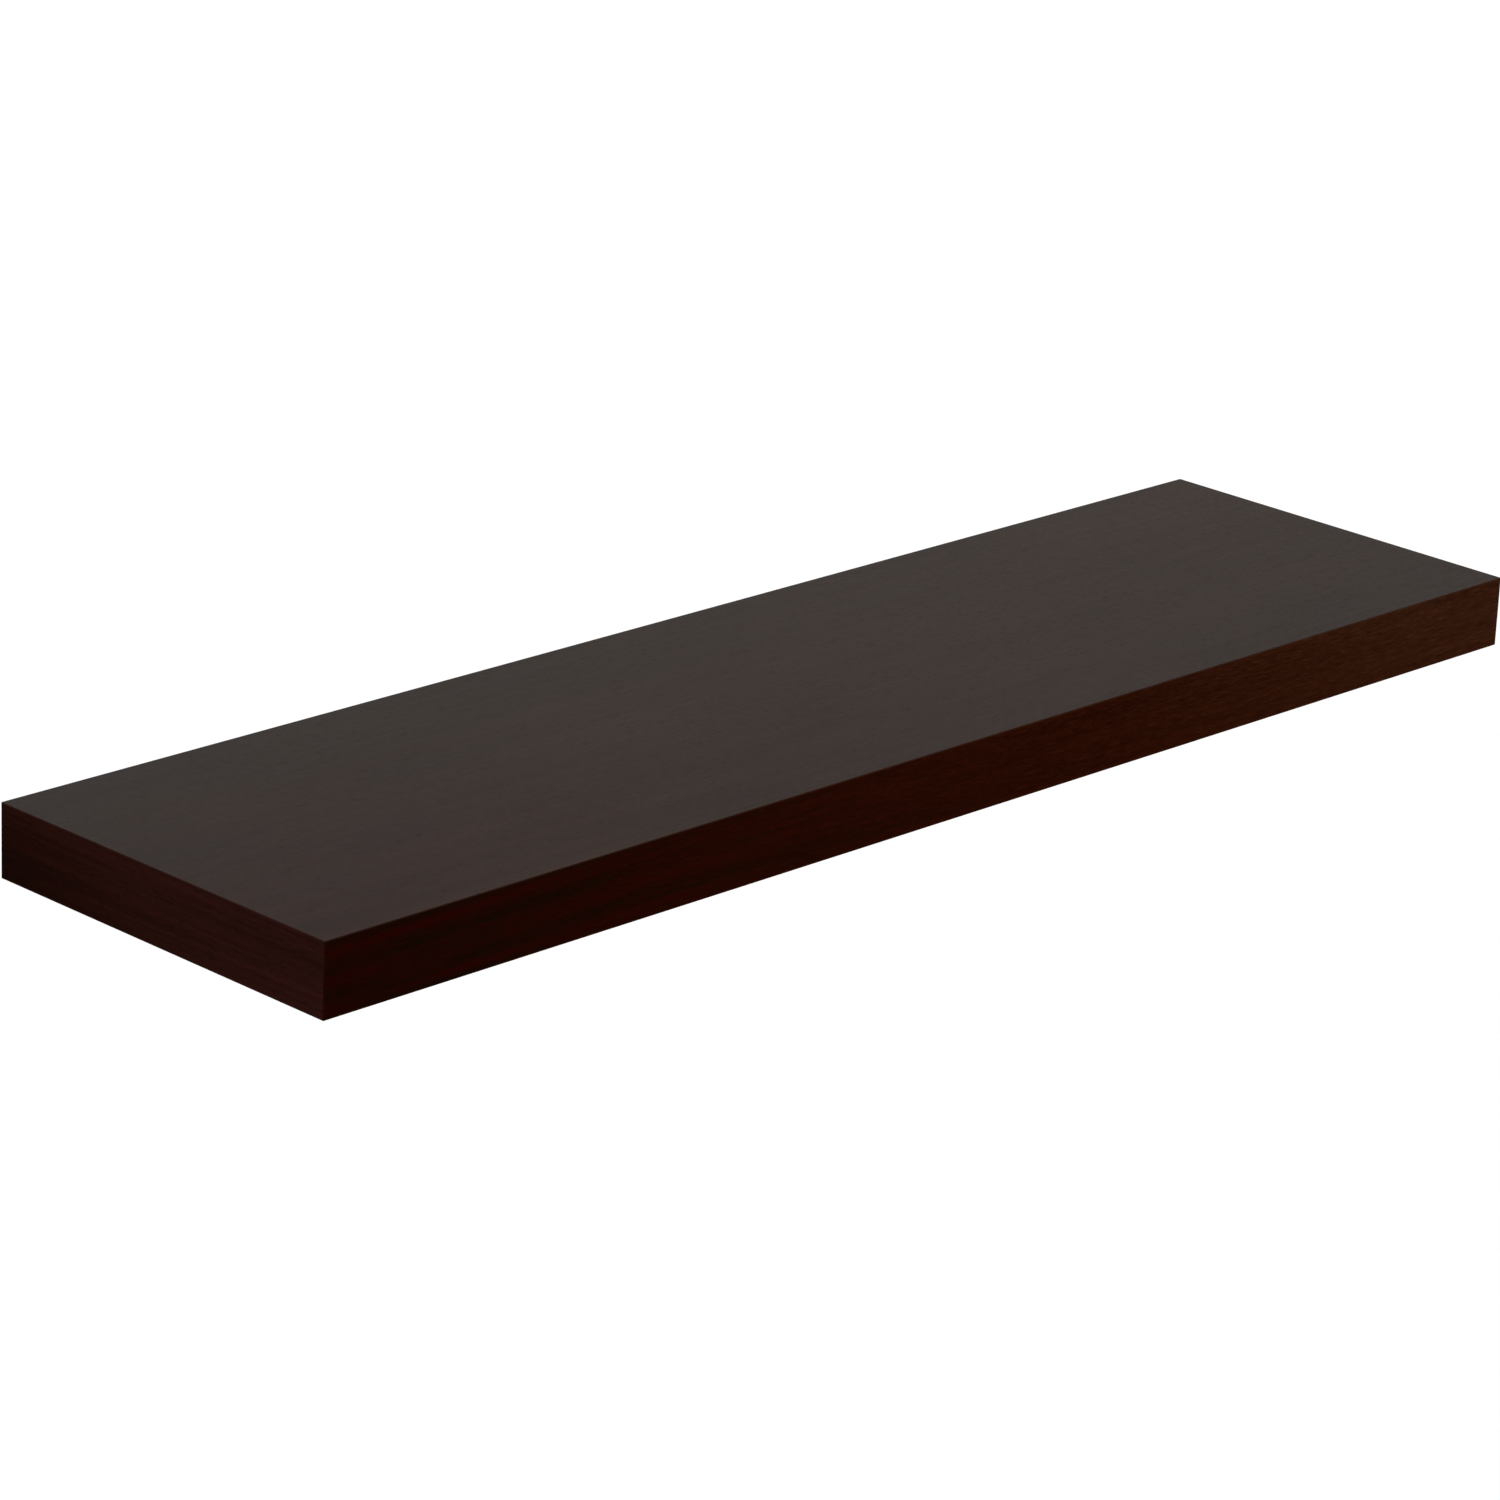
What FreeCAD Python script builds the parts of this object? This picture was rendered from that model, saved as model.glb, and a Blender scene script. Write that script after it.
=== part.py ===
import FreeCAD, Part
import math
import os

import Sketcher
from FreeCAD import Placement, Rotation, Vector

# A floating wall shelf: a veneered hollow-core slab that slides on to three rods of a steel
# bracket. Millimetres. The wall is the plane y = 0, the shelf stands out towards -Y, +Z is up, and
# the origin is the middle of the wall plate's back face.

doc = FreeCAD.newDocument("wall_shelf")
size = doc.addObject("Spreadsheet::Sheet", "size")
place = doc.addObject("Spreadsheet::Sheet", "place")

# Driving sizes
SIZES = {
    "shelf_width": 914,             # slab, end to end
    "shelf_depth": 248,             # slab, back edge to front
    "shelf_height": 41.5,           # slab, underside to top
    "wall_gap": 0.5,                # back edge of the slab to the wall
    "veneer": 0.6,                  # wood veneer on every face that shows
    "skin": 3,                      # fibreboard skins under the veneer
    "arris": 0.4,                   # rounding of the slab's outer edges
    "rail_depth": 30,               # front and rear rails, front to back
    "stile_width": 25,              # end members of the frame
    "rib_width": 45,                # blocks bored for the rods
    "plate_thickness": 4,           # steel flat on the wall
    "plate_front_gap": 0.6,         # wall plate to the rear rail
    "plate_side_gap": 2.15,         # wall plate to the recess, above and below
    "plate_end_gap": 11,            # wall plate to each stile
    "plate_corner": 4,              # rounding of its corners
    "screw_hole": 5.5,              # wall screw holes, diameter
    "screw_sink": 10.5,             # their countersinks, diameter at the face
    "rod_diameter": 12,             # rods of the bracket
    "rod_end_margin": 64.8,         # axis of an outer rod to the end of the plate
    "rod_cover": 94.5,              # tip of a rod to the front of the slab
    "rod_tip_chamfer": 1.5,         # lead at the tip of a rod
    "spigot_diameter": 10,          # end of a rod that passes through the plate
    "spigot_play": 0.05,            # radial, spigot in the plate
    "weld_leg": 3,                  # fillet weld at the root of a rod
    "weld_room": 1,                 # mouth of a bore beyond the weld, radial
    "bore_play": 0.3,               # radial, rod in its bore
    "bore_end_room": 6,             # blind end of a bore beyond the rod's tip
    "dowel_diameter": 8,            # frame dowels
    "dowel_length": 36,
    "dowel_chamfer": 1,
    "dowel_play": 0.1,              # radial, and at each end of a dowel
    "core_cell": 30,                # paper honeycomb, across the flats of a cell
    "core_wall": 0.5,               # its paper
    "core_play": 0.2,               # honeycomb to the frame and skins around it
    "lock_setback": 70,             # axis of a lock screw to the wall
    "insert_diameter": 10,          # threaded insert over its barbs
    "insert_core": 8.8,             # and between them
    "insert_bore": 6.3,             # its thread, modelled plain
    "insert_flange": 13,            # its flange, diameter
    "insert_flange_height": 1.2,
    "insert_play": 0.1,             # radial, insert in the wood
    "insert_top_gap": 1.45,         # top of an insert to the rod's bore
    "screw_diameter": 6,            # lock screw, modelled plain
    "screw_tip_gap": 0.1,           # its tip to the rod
    "screw_recess": 2.65,           # its socket end below the face of the underside
    "screw_chamfer": 0.8,
    "socket_flats": 3,              # hex socket, across the flats
    "socket_depth": 3.5,
    "overrun": 2,                   # how far cuts run past a face
}

# Shares and counts
SCREW_HOLE_SHARES = (2 / 7, 6 / 7)  # of the rods' pitch: at this width they stand a quarter and
                                    # three quarters of a 406.4 stud spacing from the middle
DOWEL_PAIR_SHARE = 0.225            # of the rail's depth, a dowel to the middle of the rail
STILE_DOWEL_SHARE = 1 / 3           # of a dowel's length, in the stile
RAIL_DOWEL_SHARE = 0.4              # of a dowel's length, in the rail
BARB_SHARE = 0.7                    # of the barbs' pitch, the taper of a barb
BARBS = 5
HEX = 6
SIDES = (-1, 1)
ROD_STEPS = (-1, 0, 1)              # rods, in pitches from the middle

# Places worked out from the sizes
PLACES = {
    "slab_end": "size.shelf_width / 2",
    "slab_top": "size.shelf_height / 2",
    "slab_back": "-size.wall_gap",
    "slab_front": "slab_back - size.shelf_depth",
    "frame_end": "slab_end - size.veneer",
    "frame_top": "slab_top - size.veneer - size.skin",
    "frame_front": "slab_front + size.veneer",
    "bay_end": "frame_end - size.stile_width",
    "rail_back": "-size.plate_thickness - size.plate_front_gap",
    "bay_back": "rail_back - size.rail_depth",
    "bay_front": "frame_front + size.rail_depth",
    "plate_end": "bay_end - size.plate_end_gap",
    "plate_top": "frame_top - size.plate_side_gap",
    "rod_pitch": "plate_end - size.rod_end_margin",
    "rod_tip": "slab_front + size.rod_cover",
    "rod_radius": "size.rod_diameter / 2",
    "bore_radius": "rod_radius + size.bore_play",
    "bore_end": "rod_tip - size.bore_end_room",
    "mouth_radius": "bore_radius + size.weld_leg + size.weld_room",
    "dowel_hole": "size.dowel_diameter / 2 + size.dowel_play",
    "rib_dowel": "(bore_radius + size.rib_width / 2) / 2",
    "insert_hole": "size.insert_diameter / 2 + size.insert_play",
    "flange_hole": "size.insert_flange / 2 + size.insert_play",
    "insert_length": "slab_top - bore_radius - size.insert_top_gap",
    "screw_length": "slab_top - size.screw_recess - rod_radius - size.screw_tip_gap",
}

for row, (alias, number) in enumerate(SIZES.items(), start=1):
    size.set(f"A{row}", alias)
    size.set(f"B{row}", str(number))
    size.setAlias(f"B{row}", alias)
for row, (alias, rule) in enumerate(PLACES.items(), start=1):
    place.set(f"A{row}", alias)
    place.set(f"B{row}", f"={rule}")
    place.setAlias(f"B{row}", alias)
doc.recompute()

subparts = []
solids = {}


# Shared steps: a rule is an expression on the two sheets
def reckon(rule):
    """The number that a rule gives."""
    return float(size.evalExpression(rule))


def keep(part, label, count=1):
    """Name a sub-part and note how many solids it has."""
    part.Label = label
    subparts.append(part)
    solids[label] = count


def new_body(label, position=("0", "0", "0"), count=1):
    """An empty body whose own origin stands at three rules."""
    body = doc.addObject("PartDesign::Body", label)
    for axis, rule in zip("xyz", position):
        body.setExpression(f"Placement.Base.{axis}", rule)
    keep(body, label, count)
    return body


def datum(body, role):
    """One of the body's origin planes or axes."""
    return next(item for item in body.Origin.OriginFeatures if item.Role == role)


def sketch_on(body, plane, offset="0"):
    """A sketch on one of the body's origin planes, or offset from it along its normal."""
    sketch = body.newObject("Sketcher::SketchObject", f"{body.Label}_{plane}")
    sketch.AttachmentSupport = [(datum(body, plane), "")]
    sketch.MapMode = "FlatFace"
    sketch.setExpression("AttachmentOffset.Base.z", offset)
    return sketch


def dimension(sketch, constraint, rule):
    """Add a dimension to a sketch and tie it to a rule."""
    index = sketch.addConstraint(constraint)
    sketch.setExpression(f"Constraints[{index}]", rule)


def hold(sketch, element, point, across, up):
    """Hold a point of a sketch's element at two rules, measured from the sketch's origin."""
    origin = (-1, 1)
    dimension(sketch, Sketcher.Constraint("DistanceX", *origin, element, point, reckon(across)), across)
    dimension(sketch, Sketcher.Constraint("DistanceY", *origin, element, point, reckon(up)), up)


def outline(sketch, corners):
    """A closed outline of straight lines through corners, each a pair of rules."""
    points = [Vector(reckon(across), reckon(up), 0) for across, up in corners]
    lines = [
        sketch.addGeometry(Part.LineSegment(start, end))
        for start, end in zip(points, points[1:] + points[:1])
    ]
    for line, following in zip(lines, lines[1:] + lines[:1]):
        sketch.addConstraint(Sketcher.Constraint("Coincident", line, 2, following, 1))
    for line, (across, up) in zip(lines, corners):
        hold(sketch, line, 1, across, up)


def circle(sketch, across, up, radius):
    """A circle whose centre and radius are rules."""
    centre = Vector(reckon(across), reckon(up), 0)
    ring = sketch.addGeometry(Part.Circle(centre, Vector(0, 0, 1), reckon(radius)))
    hold(sketch, ring, 3, across, up)
    dimension(sketch, Sketcher.Constraint("Radius", ring, reckon(radius)), radius)


def extrude(body, kind, sketch, length, along_normal=True):
    """A Pad or a Pocket of a sketch, along its plane's normal or against it."""
    feature = body.newObject(f"PartDesign::{kind}", f"{body.Label}_{kind}")
    feature.Profile = sketch
    feature.setExpression("Length", length)
    feature.Reversed = along_normal == (kind == "Pocket")
    return feature


def board(label, low, high):
    """A square-edged piece between two corners, each three rules, with its low corner as origin."""
    body = new_body(label, low)
    length, depth, thickness = (f"({top}) - ({bottom})" for bottom, top in zip(low, high))
    sketch = sketch_on(body, "XY_Plane")
    outline(sketch, [("0", "0"), (length, "0"), (length, depth), ("0", depth)])
    extrude(body, "Pad", sketch, thickness)
    return body


def drill(body, plane, offset, centres, radius, depth, along_normal):
    """Round holes of one radius and depth, from a plane of the body."""
    sketch = sketch_on(body, plane, offset)
    for across, up in centres:
        circle(sketch, across, up, radius)
    return extrude(body, "Pocket", sketch, depth, along_normal)


def bolt_holes(body, sketch, diameter, sink, along_normal):
    """Through holes with a 90 degree sink at the sketch's plane."""
    doc.recompute()
    holes = body.newObject("PartDesign::Hole", f"{body.Label}_holes")
    holes.Profile = sketch
    holes.DepthType = "ThroughAll"
    holes.HoleCutType = "Countersink"
    holes.HoleCutCustomValues = True
    holes.HoleCutCountersinkAngle = 90
    holes.DrillPoint = "Flat"
    holes.setExpression("Diameter", diameter)
    holes.setExpression("HoleCutDiameter", sink)
    holes.Reversed = along_normal
    return holes


def turned(label, position, plane, profile, count=1):
    """A body of revolution about the upright axis of the plane it is drawn on."""
    body = new_body(label, position, count)
    sketch = sketch_on(body, plane)
    outline(sketch, profile)
    turn = body.newObject("PartDesign::Revolution", f"{label}_turn")
    turn.Profile = sketch
    turn.ReferenceAxis = (sketch, ["V_Axis"])
    return body


def dress(body, kind, picked, dimension_name, rule):
    """A Fillet or Chamfer on the edges of a body that a test picks."""
    doc.recompute()
    base = body.Tip
    names = [
        f"Edge{number}"
        for number, edge in enumerate(base.Shape.Edges, start=1)
        if picked(edge)
    ]
    feature = body.newObject(f"PartDesign::{kind}", f"{body.Label}_{kind}")
    feature.Base = (base, names)
    feature.setExpression(dimension_name, rule)


# Steel bracket: wall plate
def wall_plate():
    plate = new_body("wall_plate")
    sketch = sketch_on(plate, "XZ_Plane")
    end, top = "place.plate_end", "place.plate_top"
    outline(sketch, [(f"-{end}", f"-{top}"), (end, f"-{top}"), (end, top), (f"-{end}", top)])
    extrude(plate, "Pad", sketch, "size.plate_thickness")
    middle = -reckon("size.plate_thickness") / 2
    corner_run = abs(middle) / 2
    dress(
        plate,
        "Fillet",
        lambda edge: abs(edge.CenterOfMass.y - middle) < corner_run,
        "Radius",
        "size.plate_corner",
    )

    seats = [(f"{step} * place.rod_pitch", "0") for step in ROD_STEPS]
    seat_radius = "size.spigot_diameter / 2 + size.spigot_play"
    depth = "size.plate_thickness + size.overrun"
    drill(plate, "XZ_Plane", "0", seats, seat_radius, depth, along_normal=True)

    front = sketch_on(plate, "XZ_Plane", "size.plate_thickness")
    for share in SCREW_HOLE_SHARES:
        for side in SIDES:
            circle(front, f"{side * share} * place.rod_pitch", "0", "size.screw_hole / 2")
    bolt_holes(plate, front, "size.screw_hole", "size.screw_sink", along_normal=False)


# Steel bracket: rods, each with a spigot through the plate and a lead at its tip
def rods():
    shoulder = "-size.plate_thickness"
    spigot = "size.spigot_diameter / 2"
    radius = "place.rod_radius"
    tip = "place.rod_tip"
    profile = [
        ("0", "0"),
        (spigot, "0"),
        (spigot, shoulder),
        (radius, shoulder),
        (radius, f"{tip} + size.rod_tip_chamfer"),
        (f"{radius} - size.rod_tip_chamfer", tip),
        ("0", tip),
    ]
    for label, step in zip(("left_rod", "centre_rod", "right_rod"), ROD_STEPS):
        turned(label, (f"{step} * place.rod_pitch", "0", "0"), "XY_Plane", profile)


# Steel bracket: one fillet weld round the root of each rod
def rod_welds():
    root = "-size.plate_thickness"
    radius = "place.rod_radius"
    profile = [
        (radius, root),
        (f"{radius} + size.weld_leg", root),
        (radius, f"{root} - size.weld_leg"),
    ]
    count = len(ROD_STEPS)
    welds = turned("rod_welds", ("-place.rod_pitch", "0", "0"), "XY_Plane", profile, count)
    ring = welds.Tip
    row = welds.newObject("PartDesign::LinearPattern", "rod_welds_row")
    row.Originals = [ring]
    row.Direction = (datum(welds, "X_Axis"), [""])
    row.Occurrences = count
    row.setExpression("Length", f"{count - 1} * place.rod_pitch")
    welds.Tip = row


# Slab: fibreboard skins, the lower one open for the flanges of the inserts
def skin(label, low, high):
    """A sheet as wide and as deep as the frame, between two heights."""
    left_front = ("-place.frame_end", "place.frame_front")
    right_back = ("place.frame_end", "place.slab_back")
    return board(label, (*left_front, low), (*right_back, high))


def skins():
    top, thickness = "place.frame_top", "size.skin"
    skin("top_skin", top, f"{top} + {thickness}")
    bottom = skin("bottom_skin", f"-{top} - {thickness}", f"-{top}")
    centres = insert_centres("place.frame_end", "place.frame_front")
    seat = "size.insert_flange_height - size.veneer"
    through = f"{thickness} + size.overrun"
    drill(bottom, "XY_Plane", "0", centres, "place.flange_hole", seat, along_normal=True)
    drill(bottom, "XY_Plane", "0", centres, "place.insert_hole", through, along_normal=True)


def insert_centres(left, front):
    """The axes of the two inserts, from a corner of the piece that they pass through."""
    return [
        (f"{side} * place.rod_pitch + {left}", f"-size.lock_setback - {front}")
        for side in SIDES
    ]


# Slab: softwood frame
def frame_member(label, low, high):
    """A member as high as the frame, between two corners in plan."""
    return board(label, (*low, "-place.frame_top"), (*high, "place.frame_top"))


def drill_ends(body, centres, depth, length):
    """Dowel holes in both X ends of a member."""
    drill(body, "YZ_Plane", "0", centres, "place.dowel_hole", depth, along_normal=True)
    drill(body, "YZ_Plane", length, centres, "place.dowel_hole", depth, along_normal=False)


def dowel_reach(share):
    """How deep a dowel's hole is, in the member that holds this share of the dowel."""
    return f"size.dowel_length * {share} + size.dowel_play"


def rail_dowel_places(middle):
    """The pair of dowels at a rail's end, front to back, about the middle of the rail."""
    return [f"{middle} + {side * DOWEL_PAIR_SHARE} * size.rail_depth" for side in SIDES]


def rib_dowel_places():
    """The six dowels along a rail, a pair to each rib, from the middle of the shelf."""
    return [
        f"{step} * place.rod_pitch + {side} * place.rib_dowel"
        for step in ROD_STEPS
        for side in SIDES
    ]


def rails():
    length = "2 * place.bay_end"
    middle = "place.frame_top"
    side_places = rail_dowel_places("size.rail_depth / 2")
    rib_places = [(f"place.bay_end + {across}", middle) for across in rib_dowel_places()]
    depth = dowel_reach(RAIL_DOWEL_SHARE)

    front = frame_member(
        "front_rail",
        ("-place.bay_end", "place.frame_front"),
        ("place.bay_end", "place.bay_front"),
    )
    drill(front, "XZ_Plane", "-size.rail_depth", rib_places, "place.dowel_hole", depth, along_normal=True)

    rear = frame_member(
        "rear_rail",
        ("-place.bay_end", "place.bay_back"),
        ("place.bay_end", "place.rail_back"),
    )
    drill(rear, "XZ_Plane", "0", rib_places, "place.dowel_hole", depth, along_normal=False)
    mouths = sketch_on(rear, "XZ_Plane", "-size.rail_depth")
    for step in ROD_STEPS:
        circle(mouths, f"place.bay_end + {step} * place.rod_pitch", middle, "place.bore_radius")
    bolt_holes(rear, mouths, "2 * place.bore_radius", "2 * place.mouth_radius", along_normal=True)

    for rail in (front, rear):
        centres = [(across, middle) for across in side_places]
        drill_ends(rail, centres, dowel_reach(1 - STILE_DOWEL_SHARE), length)


def stiles():
    middle = "place.frame_top"
    rail_middles = (
        "place.frame_front + size.rail_depth / 2 - place.frame_front",
        "place.bay_back + size.rail_depth / 2 - place.frame_front",
    )
    centres = [(across, middle) for rail in rail_middles for across in rail_dowel_places(rail)]
    depth = dowel_reach(STILE_DOWEL_SHARE)
    left = frame_member(
        "left_stile",
        ("-place.frame_end", "place.frame_front"),
        ("-place.bay_end", "place.slab_back"),
    )
    drill(left, "YZ_Plane", "size.stile_width", centres, "place.dowel_hole", depth, along_normal=False)
    right = frame_member(
        "right_stile",
        ("place.bay_end", "place.frame_front"),
        ("place.frame_end", "place.slab_back"),
    )
    drill(right, "YZ_Plane", "0", centres, "place.dowel_hole", depth, along_normal=True)


def ribs():
    middle = "place.frame_top"
    half = "size.rib_width / 2"
    length = "place.bay_back - place.bay_front"
    dowels = [(f"{half} + {side} * place.rib_dowel", middle) for side in SIDES]
    dowel_depth = dowel_reach(1 - RAIL_DOWEL_SHARE)
    for label, step in zip(("left_rib", "centre_rib", "right_rib"), ROD_STEPS):
        axis = f"{step} * place.rod_pitch"
        rib = frame_member(
            label,
            (f"{axis} - {half}", "place.bay_front"),
            (f"{axis} + {half}", "place.bay_back"),
        )
        back = f"-({length})"
        bore_depth = "place.bay_back - place.bore_end"
        drill(rib, "XZ_Plane", back, [(half, middle)], "place.bore_radius", bore_depth, along_normal=True)
        drill(rib, "XZ_Plane", back, dowels, "place.dowel_hole", dowel_depth, along_normal=True)
        drill(rib, "XZ_Plane", "0", dowels, "place.dowel_hole", dowel_depth, along_normal=False)
        if step:
            axis_place = [(half, "-size.lock_setback - place.bay_front")]
            drill(rib, "XY_Plane", "0", axis_place, "place.insert_hole", middle, along_normal=True)


# Slab: beech dowels at the joints of the frame, with chamfered ends
def frame_dowels():
    body = new_body("frame_dowels", count=0)
    radius = "size.dowel_diameter / 2"
    length = "size.dowel_length"
    rail_middles = ("place.frame_front + size.rail_depth / 2", "place.bay_back + size.rail_depth / 2")
    beside = [(along, "0") for rail in rail_middles for along in rail_dowel_places(rail)]
    along_rail = [(across, "0") for across in rib_dowel_places()]

    left_start = f"-place.bay_end - {length} * {STILE_DOWEL_SHARE}"
    right_start = f"place.bay_end - {length} * {1 - STILE_DOWEL_SHARE}"
    front_start = f"-place.bay_front + {length} * {RAIL_DOWEL_SHARE} - {length}"
    rear_start = f"-place.bay_back - {length} * {RAIL_DOWEL_SHARE}"
    for plane, start, centres in (
        ("YZ_Plane", left_start, beside),
        ("YZ_Plane", right_start, beside),
        ("XZ_Plane", front_start, along_rail),
        ("XZ_Plane", rear_start, along_rail),
    ):
        sketch = sketch_on(body, plane, start)
        for across, up in centres:
            circle(sketch, across, up, radius)
        extrude(body, "Pad", sketch, length)
        solids["frame_dowels"] += len(centres)
    dress(body, "Chamfer", lambda edge: isinstance(edge.Curve, Part.Circle), "Size", "size.dowel_chamfer")


# Slab: paper honeycomb in the bays between the ribs
def cell_face(centre, flats):
    """One six-sided face, with two of its flats parallel to Y."""
    radius = flats / math.sqrt(3)
    corners = [
        centre + Vector(radius * math.sin(turn), radius * math.cos(turn), 0)
        for turn in (math.tau * corner / HEX for corner in range(HEX))
    ]
    return Part.Face(Part.makePolygon(corners + corners[:1]))


def honeycomb(width, depth, height):
    """A block of open cells with a paper border, its low corner at the origin."""
    cell, wall = reckon("size.core_cell"), reckon("size.core_wall")
    row_step = cell * math.sqrt(3) / 2
    rows = math.ceil(depth / row_step / 2)
    columns = math.ceil(width / cell / 2)
    middle = Vector(width / 2, depth / 2, 0)
    cells = [
        cell_face(middle + Vector((column + row % 2 / 2) * cell, row * row_step, 0), cell - wall)
        for row in range(-rows, rows + 1)
        for column in range(-columns - 1, columns + 1)
    ]
    block = Part.makePlane(width, depth)
    inside = Part.makePlane(width - 2 * wall, depth - 2 * wall, Vector(wall, wall, 0))
    holes = inside.common(Part.makeCompound(cells))
    walls = block.cut(holes)
    return walls.extrude(Vector(0, 0, height))


def cores():
    play = reckon("size.core_play")
    half_rib = reckon("size.rib_width / 2")
    pitch = reckon("place.rod_pitch")
    bay_end = reckon("place.bay_end")
    front, back = reckon("place.bay_front"), reckon("place.bay_back")
    top = reckon("place.frame_top")
    for label, left, right in (
        ("outer_left_core", -bay_end, -pitch - half_rib),
        ("inner_left_core", -pitch + half_rib, -half_rib),
        ("inner_right_core", half_rib, pitch - half_rib),
        ("outer_right_core", pitch + half_rib, bay_end),
    ):
        core = doc.addObject("Part::Feature", label)
        keep(core, label)
        core.Shape = honeycomb(
            right - left - 2 * play,
            back - front - 2 * play,
            2 * (top - play),
        )
        core.Placement = Placement(Vector(left + play, front + play, play - top), Rotation())


# Slab: veneers. The sheets lap over the strips, and the front strip over the end strips
def at_end(point):
    """Whether a point in a full-width veneer's own frame lies on either end."""
    near = reckon("size.veneer / 4")
    return min(point.x, reckon("size.shelf_width") - point.x) < near


def sheet(label, low, glued):
    """A veneer over the whole slab, rounded on three sides of the face away from the glue."""
    veneer = "size.veneer"
    body = board(
        label,
        ("-place.slab_end", "place.slab_front", low),
        ("place.slab_end", "place.slab_back", f"{low} + {veneer}"),
    )
    near, glue_line = reckon(f"{veneer} / 4"), reckon(glued)
    back = reckon("size.shelf_depth")

    def outer(edge):
        point = edge.CenterOfMass
        on_rim = point.y < near or (at_end(point) and point.y < back - near)
        return on_rim and abs(point.z - glue_line) > near

    dress(body, "Fillet", outer, "Radius", "size.arris")
    return body


def sheets():
    veneer = "size.veneer"
    sheet("top_veneer", f"place.slab_top - {veneer}", glued="0")
    bottom = sheet("bottom_veneer", "-place.slab_top", glued=veneer)
    centres = insert_centres("place.slab_end", "place.slab_front")
    through = f"{veneer} + size.overrun"
    drill(bottom, "XY_Plane", "0", centres, "place.flange_hole", through, along_normal=True)


def strips():
    veneer = "size.veneer"
    end, front, back = "place.slab_end", "place.slab_front", "place.slab_back"
    low, high = f"-place.slab_top + {veneer}", f"place.slab_top - {veneer}"
    inner = f"{front} + {veneer}"

    lip = board("front_veneer", (f"-{end}", front, low), (end, inner, high))
    near = reckon(f"{veneer} / 4")
    dress(
        lip,
        "Fillet",
        lambda edge: edge.CenterOfMass.y < near and at_end(edge.CenterOfMass),
        "Radius",
        "size.arris",
    )
    board("left_end_veneer", (f"-{end}", inner, low), (f"-{end} + {veneer}", back, high))
    board("right_end_veneer", (f"{end} - {veneer}", inner, low), (end, back, high))


# Locks: flanged inserts pressed into the underside, held by barbs
def inserts():
    bore, core = "size.insert_bore / 2", "size.insert_core / 2"
    barb, flange = "size.insert_diameter / 2", "size.insert_flange / 2"
    lip, length = "size.insert_flange_height", "place.insert_length"
    pitch = f"({length} - {lip}) / {BARBS}"
    profile = [(bore, "0"), (flange, "0"), (flange, lip), (core, lip)]
    for ring in range(BARBS):
        root = f"{lip} + {ring + 1 - BARB_SHARE} * {pitch}"
        profile += [(core, root), (barb, root), (core, f"{lip} + {ring + 1} * {pitch}")]
    profile += [(bore, length)]
    for label, side in zip(("left_insert", "right_insert"), SIDES):
        turned(label, lock_origin(side, "-place.slab_top"), "XZ_Plane", profile)


def lock_origin(side, height):
    """A point on the axis of a lock, at a height."""
    return (f"{side} * place.rod_pitch", "-size.lock_setback", height)


# Locks: socket grub screws that press up on the outer rods
def lock_screws():
    radius, chamfer, length = "size.screw_diameter / 2", "size.screw_chamfer", "place.screw_length"
    profile = [
        ("0", "0"),
        (f"{radius} - {chamfer}", "0"),
        (radius, chamfer),
        (radius, f"{length} - {chamfer}"),
        (f"{radius} - {chamfer}", length),
        ("0", length),
    ]
    for label, side in zip(("left_lock_screw", "right_lock_screw"), SIDES):
        low = "-place.slab_top + size.screw_recess"
        screw = turned(label, lock_origin(side, low), "XZ_Plane", profile)
        sketch = sketch_on(screw, "XY_Plane")
        corner = "size.socket_flats / sqrt(3)"
        turns = [360 / HEX * number for number in range(HEX)]
        outline(sketch, [(f"{corner} * cos({turn})", f"{corner} * sin({turn})") for turn in turns])
        extrude(screw, "Pocket", sketch, "size.socket_depth", along_normal=True)


wall_plate()
rods()
rod_welds()
skins()
rails()
stiles()
ribs()
frame_dowels()
cores()
sheets()
strips()
inserts()
lock_screws()
doc.recompute()

# Checks before anything is written
for item in doc.Objects:
    if "Invalid" in item.State or "Error" in item.State:
        raise RuntimeError(f"{item.Label} failed: {item.State}")
    if item.TypeId in ("PartDesign::Pocket", "PartDesign::Hole"):
        if item.Shape.Volume >= item.BaseFeature.Shape.Volume:
            raise RuntimeError(f"{item.Label} cuts nothing")
for part in subparts:
    if part.Shape.isNull() or not part.Shape.isValid():
        raise RuntimeError(f"{part.Label} has no valid shape")
    if len(part.Shape.Solids) != solids[part.Label]:
        raise RuntimeError(f"{part.Label} has {len(part.Shape.Solids)} solids")

os.makedirs("parts", exist_ok=True)
for part in subparts:
    part.Shape.exportStep(f"parts/{part.Label}.step")
    print(part.Label, round(part.Shape.Volume), part.Shape.BoundBox)
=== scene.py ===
import math

import bpy
from mathutils import Matrix, Vector


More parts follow.
